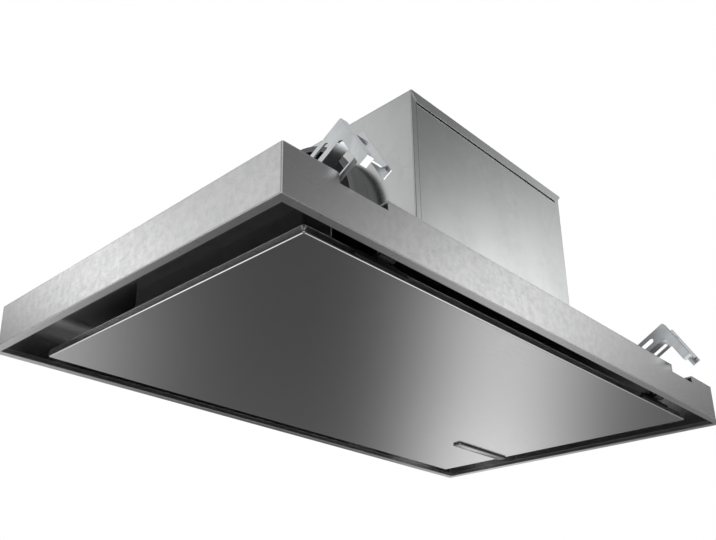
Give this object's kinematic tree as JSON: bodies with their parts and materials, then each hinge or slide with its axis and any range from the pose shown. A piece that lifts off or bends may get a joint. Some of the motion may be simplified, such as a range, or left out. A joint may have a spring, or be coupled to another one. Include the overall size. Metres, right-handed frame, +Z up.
{
  "type": "ceiling range hood",
  "caption": "Ceiling range hood built into a cut-out, with a hinged panel, perimeter suction, blower housing, round side duct collar and swing-out clamps.",
  "frame": {"origin": "middle of the flange's underside", "axes": "+X along the long side, away from the duct collar; +Z up into the ceiling void"},
  "size_m": [0.9, 0.5364, 0.302],
  "materials": {
    "stainless_frame": "brushed stainless sheet",
    "galvanised_sheet": "galvanised sheet",
    "zinc_hardware": "zinc plated",
    "aluminium": "satin",
    "cast_motor": "cast, matt",
    "control_glass": "satin face, black edge",
    "black_plastic": "fine grain",
    "green_board": "lacquered board",
    "rubber": "soft"
  },
  "bodies": {
    "hood_frame": {"cable_gland": "black_plastic", "canopy_walls": "stainless_frame", "ceiling_flange": "stainless_frame", "clamp_brackets": "zinc_hardware", "clamp_nuts": "zinc_hardware", "clamp_pins": "zinc_hardware", "clamp_tie_bolts": "zinc_hardware", "clamp_trays": "galvanised_sheet", "control_board": "green_board", "duct_collar": "galvanised_sheet", "electronics_box": "black_plastic", "electronics_lid": "black_plastic", "filter_carrier": "galvanised_sheet", "filter_deck": "stainless_frame", "filter_frame_left": "aluminium", "filter_frame_middle": "aluminium", "filter_frame_right": "aluminium", "filter_mesh_left": "aluminium", "filter_mesh_middle": "aluminium", "filter_mesh_right": "aluminium", "flap_pin": "zinc_hardware", "hinge_bracket_left": "black_plastic", "hinge_bracket_right": "black_plastic", "hinge_pins": "zinc_hardware", "housing_lid": "galvanised_sheet", "housing_shell": "galvanised_sheet", "inlet_ring": "galvanised_sheet", "motor": "cast_motor", "outlet_panel": "galvanised_sheet", "panel_catches": "black_plastic", "plenum_top": "galvanised_sheet", "scroll_floor": "galvanised_sheet", "scroll_roof": "galvanised_sheet", "scroll_wall": "galvanised_sheet", "stiffening_lips": "galvanised_sheet", "vibration_mounts": "rubber"},
    "cover_panel": {"cover_panel": "stainless_frame", "panel_back_plate": "galvanised_sheet", "control_bar": "control_glass", "touch_board": "green_board", "hinge_arm_left": "black_plastic", "hinge_arm_right": "black_plastic", "strike_plates": "zinc_hardware"},
    "fan_wheel": {"fan_blades": "galvanised_sheet", "fan_rim": "galvanised_sheet", "fan_back_plate": "galvanised_sheet", "motor_shaft": "zinc_hardware", "shaft_nut": "zinc_hardware"},
    "duct_flap_left": {"duct_flap_left": "black_plastic"},
    "duct_flap_right": {"duct_flap_right": "black_plastic"},
    "clamp_lever_front_left": {"clamp_lever_front_left": "zinc_hardware"},
    "clamp_lever_front_right": {"clamp_lever_front_right": "zinc_hardware"},
    "clamp_lever_rear_left": {"clamp_lever_rear_left": "zinc_hardware"},
    "clamp_lever_rear_right": {"clamp_lever_rear_right": "zinc_hardware"},
    "filter_latch_left": {"filter_latch_left": "black_plastic"},
    "filter_latch_middle": {"filter_latch_middle": "black_plastic"},
    "filter_latch_right": {"filter_latch_right": "black_plastic"}
  },
  "joints": [
    {"name": "panel_hinge", "type": "hinge", "parent": "hood_frame", "child": "cover_panel", "pos_m": [0, -0.224, 0.012], "axis": [-1, 0, 0], "range_deg": [0, 90]},
    {"name": "fan_spin", "type": "hinge", "parent": "hood_frame", "child": "fan_wheel", "pos_m": [0.04, 0, 0.13], "axis": [0, 0, 1], "continuous": true},
    {"name": "flap_left_hinge", "type": "hinge", "parent": "hood_frame", "child": "duct_flap_left", "pos_m": [-0.188, 0, 0.17], "axis": [0, 0, 1], "range_deg": [0, 78], "stiffness_Nm_per_rad": 0.01},
    {"name": "flap_right_hinge", "type": "hinge", "parent": "hood_frame", "child": "duct_flap_right", "pos_m": [-0.188, 0, 0.17], "axis": [0, 0, -1], "range_deg": [0, 78], "stiffness_Nm_per_rad": 0.01},
    {"name": "clamp_front_left_pivot", "type": "hinge", "parent": "hood_frame", "child": "clamp_lever_front_left", "pos_m": [-0.339, -0.16401, 0.07291], "axis": [1, 0, 0], "range_deg": [-50, 22]},
    {"name": "clamp_front_right_pivot", "type": "hinge", "parent": "hood_frame", "child": "clamp_lever_front_right", "pos_m": [0.339, -0.16401, 0.07291], "axis": [1, 0, 0], "range_deg": [-50, 22]},
    {"name": "clamp_rear_left_pivot", "type": "hinge", "parent": "hood_frame", "child": "clamp_lever_rear_left", "pos_m": [-0.339, 0.16401, 0.07291], "axis": [-1, 0, 0], "range_deg": [-50, 22]},
    {"name": "clamp_rear_right_pivot", "type": "hinge", "parent": "hood_frame", "child": "clamp_lever_rear_right", "pos_m": [0.339, 0.16401, 0.07291], "axis": [-1, 0, 0], "range_deg": [-50, 22]},
    {"name": "latch_left_slide", "type": "slide", "parent": "hood_frame", "child": "filter_latch_left", "axis": [0, 1, 0], "range_m": [0, 0.007], "stiffness_N_per_m": 150, "springref_m": -0.004},
    {"name": "latch_middle_slide", "type": "slide", "parent": "hood_frame", "child": "filter_latch_middle", "axis": [0, 1, 0], "range_m": [0, 0.007], "stiffness_N_per_m": 150, "springref_m": -0.004},
    {"name": "latch_right_slide", "type": "slide", "parent": "hood_frame", "child": "filter_latch_right", "axis": [0, 1, 0], "range_m": [0, 0.007], "stiffness_N_per_m": 150, "springref_m": -0.004}
  ]
}
